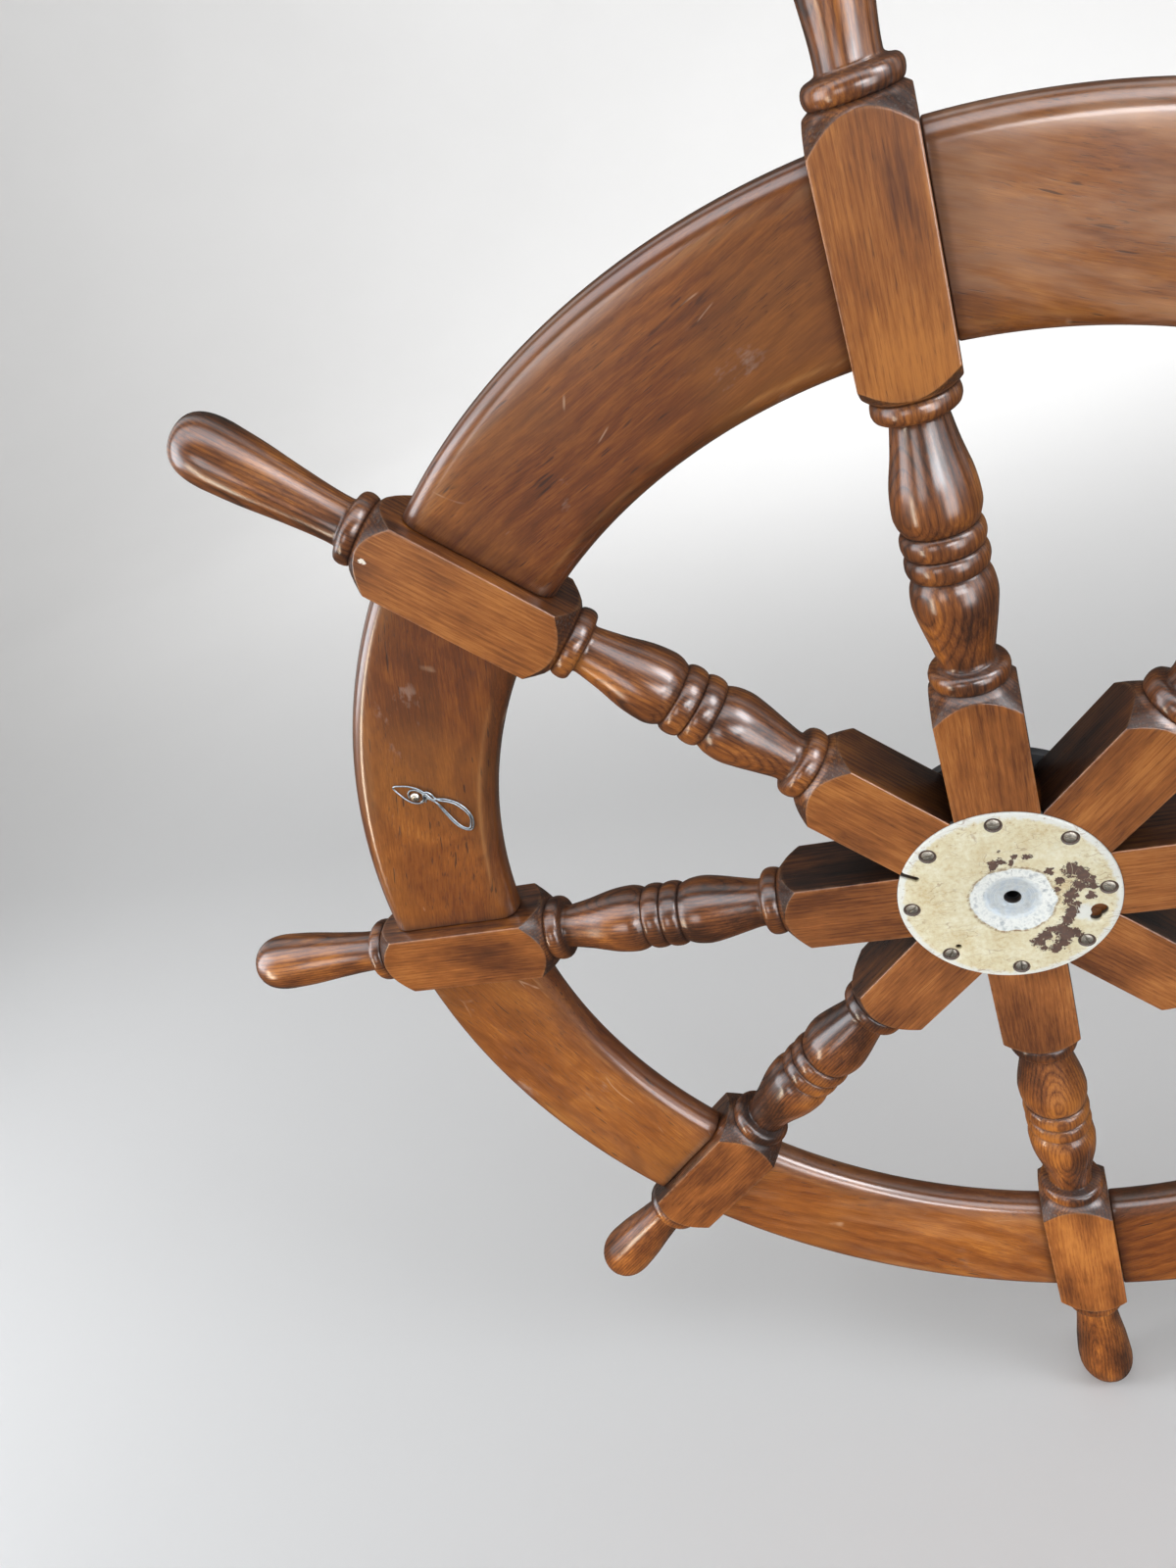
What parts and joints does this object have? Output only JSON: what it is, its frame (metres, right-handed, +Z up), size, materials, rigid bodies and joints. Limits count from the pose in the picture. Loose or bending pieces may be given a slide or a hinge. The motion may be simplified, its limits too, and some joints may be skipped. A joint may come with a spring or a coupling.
{
  "type": "ship steering wheel",
  "caption": "Ship steering wheel with turned wooden spokes and handles, a rim of joined felloes and painted hub plates, turning on a stub shaft in a flanged wall bearing.",
  "frame": {"origin": "centre of the wall bearing's rear face, on the wheel's axis", "axes": "+Y along the wheel's axis towards the wall, so the wheel faces -Y; +Z up along the first spoke; +X to the right seen from the front"},
  "size_m": [1.2192, 0.1229, 1.2192],
  "materials": {
    "spoke_wood": "reddish-brown stain under satin varnish, straight open grain, polished edges",
    "felloe_wood": "darker brown stain under satin varnish, mottled, scuffed",
    "tenon_wood": "bare planed wood",
    "cream_paint": "aged cream paint, chipped to brown primer, bare turned centre",
    "black_paint": "semi-gloss black paint on cast iron",
    "screw_steel": "dull plated steel",
    "dark_steel": "oiled dark steel",
    "shaft_steel": "ground steel",
    "bronze": "machined bearing bronze",
    "wire_steel": "galvanised soft wire"
  },
  "bodies": {
    "bearing": {"wall_bearing": "black_paint", "bearing_bush": "bronze", "thrust_washer": "bronze"},
    "wheel": {"spoke_1": "spoke_wood", "spoke_2": "spoke_wood", "spoke_3": "spoke_wood", "spoke_4": "spoke_wood", "spoke_5": "spoke_wood", "spoke_6": "spoke_wood", "spoke_7": "spoke_wood", "spoke_8": "spoke_wood", "felloe_1": "felloe_wood", "felloe_2": "felloe_wood", "felloe_3": "felloe_wood", "felloe_4": "felloe_wood", "felloe_5": "felloe_wood", "felloe_6": "felloe_wood", "felloe_7": "felloe_wood", "felloe_8": "felloe_wood", "felloe_tenon_1": "tenon_wood", "felloe_tenon_2": "tenon_wood", "felloe_tenon_3": "tenon_wood", "felloe_tenon_4": "tenon_wood", "felloe_tenon_5": "tenon_wood", "felloe_tenon_6": "tenon_wood", "felloe_tenon_7": "tenon_wood", "felloe_tenon_8": "tenon_wood", "front_hub_plate": "cream_paint", "rear_hub_flange": "black_paint", "front_plate_screw_1": "screw_steel", "front_plate_screw_2": "screw_steel", "front_plate_screw_3": "screw_steel", "front_plate_screw_4": "screw_steel", "front_plate_screw_5": "screw_steel", "front_plate_screw_6": "screw_steel", "front_plate_screw_7": "screw_steel", "front_plate_screw_8": "screw_steel", "rear_flange_screw_1": "dark_steel", "rear_flange_screw_2": "dark_steel", "rear_flange_screw_3": "dark_steel", "rear_flange_screw_4": "dark_steel", "rear_flange_screw_5": "dark_steel", "rear_flange_screw_6": "dark_steel", "rear_flange_screw_7": "dark_steel", "rear_flange_screw_8": "dark_steel", "hub_barrel": "dark_steel", "hub_set_screw_1": "dark_steel", "hub_set_screw_2": "dark_steel", "steering_shaft": "shaft_steel", "shaft_key": "dark_steel", "retaining_ring": "dark_steel", "wire_loop": "wire_steel", "wire_screw": "screw_steel"}
  },
  "joints": [
    {"name": "wheel_spin", "type": "hinge", "parent": "bearing", "child": "wheel", "pos_m": [0, -0.095, 0], "axis": [0, 1, 0], "continuous": true}
  ]
}
